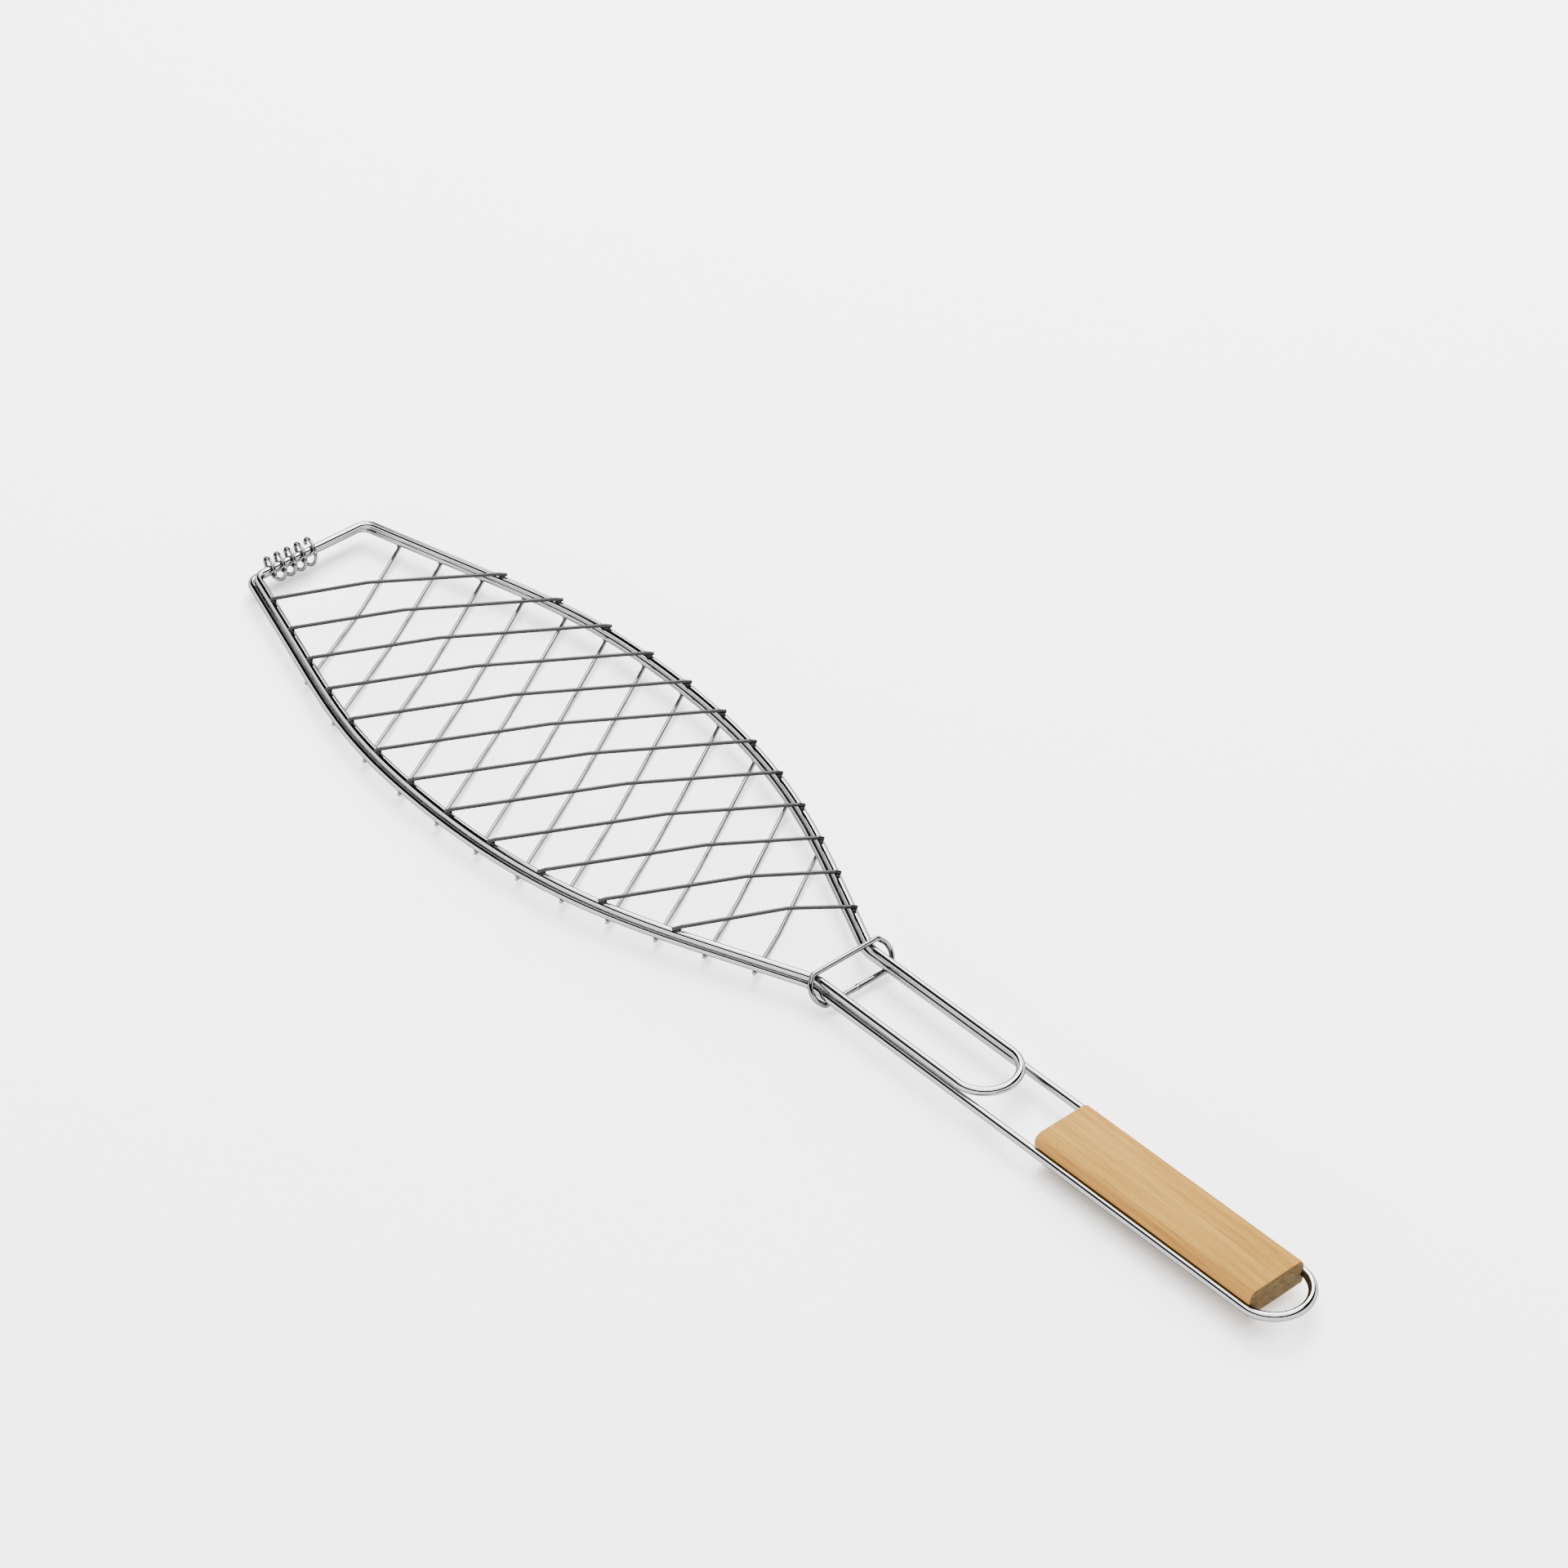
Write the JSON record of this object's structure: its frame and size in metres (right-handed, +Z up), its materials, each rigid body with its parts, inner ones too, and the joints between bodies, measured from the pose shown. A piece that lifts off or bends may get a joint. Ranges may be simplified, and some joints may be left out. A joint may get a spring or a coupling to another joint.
{
  "type": "grill basket",
  "caption": "Fish-shaped chrome wire grill basket with a hinged lid, slanting cross wires, a coil hinge, a sliding clasp ring and a grooved wooden grip on a long hanging loop.",
  "frame": {"origin": "middle of the basket's box on the ground that its lowest wires touch", "axes": "+X from the hinge to the hanging loop, +Y to the far side, +Z up, out of the lid"},
  "size_m": [0.661, 0.1436, 0.0203],
  "materials": {
    "frame_wire": "bright chrome plating on thick round wire",
    "cross_wire": "bright chrome plating on thin round wire",
    "coil_wire": "bright chrome plating on soft wound wire",
    "clasp_wire": "bright chrome plating on bent and joined wire",
    "grip_wood": "planed pale wood with fine lengthwise grain and darker end grain"
  },
  "bodies": {
    "base": {"lower_frame_head": "frame_wire", "lower_frame_near": "frame_wire", "lower_frame_tail": "frame_wire", "lower_frame_far": "frame_wire", "lower_wire_01": "cross_wire", "lower_wire_02": "cross_wire", "lower_wire_03": "cross_wire", "lower_wire_04": "cross_wire", "lower_wire_05": "cross_wire", "lower_wire_06": "cross_wire", "lower_wire_07": "cross_wire", "lower_wire_08": "cross_wire", "lower_wire_09": "cross_wire", "lower_wire_10": "cross_wire", "lower_wire_11": "cross_wire", "lower_wire_12": "cross_wire", "hinge_coil": "coil_wire", "handle_grip": "grip_wood"},
    "lid": {"upper_frame_head": "frame_wire", "upper_frame_near": "frame_wire", "upper_frame_tail": "frame_wire", "upper_frame_far": "frame_wire", "upper_wire_01": "cross_wire", "upper_wire_02": "cross_wire", "upper_wire_03": "cross_wire", "upper_wire_04": "cross_wire", "upper_wire_05": "cross_wire", "upper_wire_06": "cross_wire", "upper_wire_07": "cross_wire", "upper_wire_08": "cross_wire", "upper_wire_09": "cross_wire", "upper_wire_10": "cross_wire", "upper_wire_11": "cross_wire", "upper_wire_12": "cross_wire"},
    "clasp": {"clasp_ring": "clasp_wire"}
  },
  "joints": [
    {"name": "lid_hinge", "type": "hinge", "parent": "base", "child": "lid", "pos_m": [-0.32162, 0.00048, 0.0123], "axis": [0, -1, 0], "range_deg": [0, 180]},
    {"name": "clasp_slide", "type": "slide", "parent": "base", "child": "clasp", "axis": [0.9997, 0.019, 0.0125], "range_m": [0, 0.12]}
  ]
}
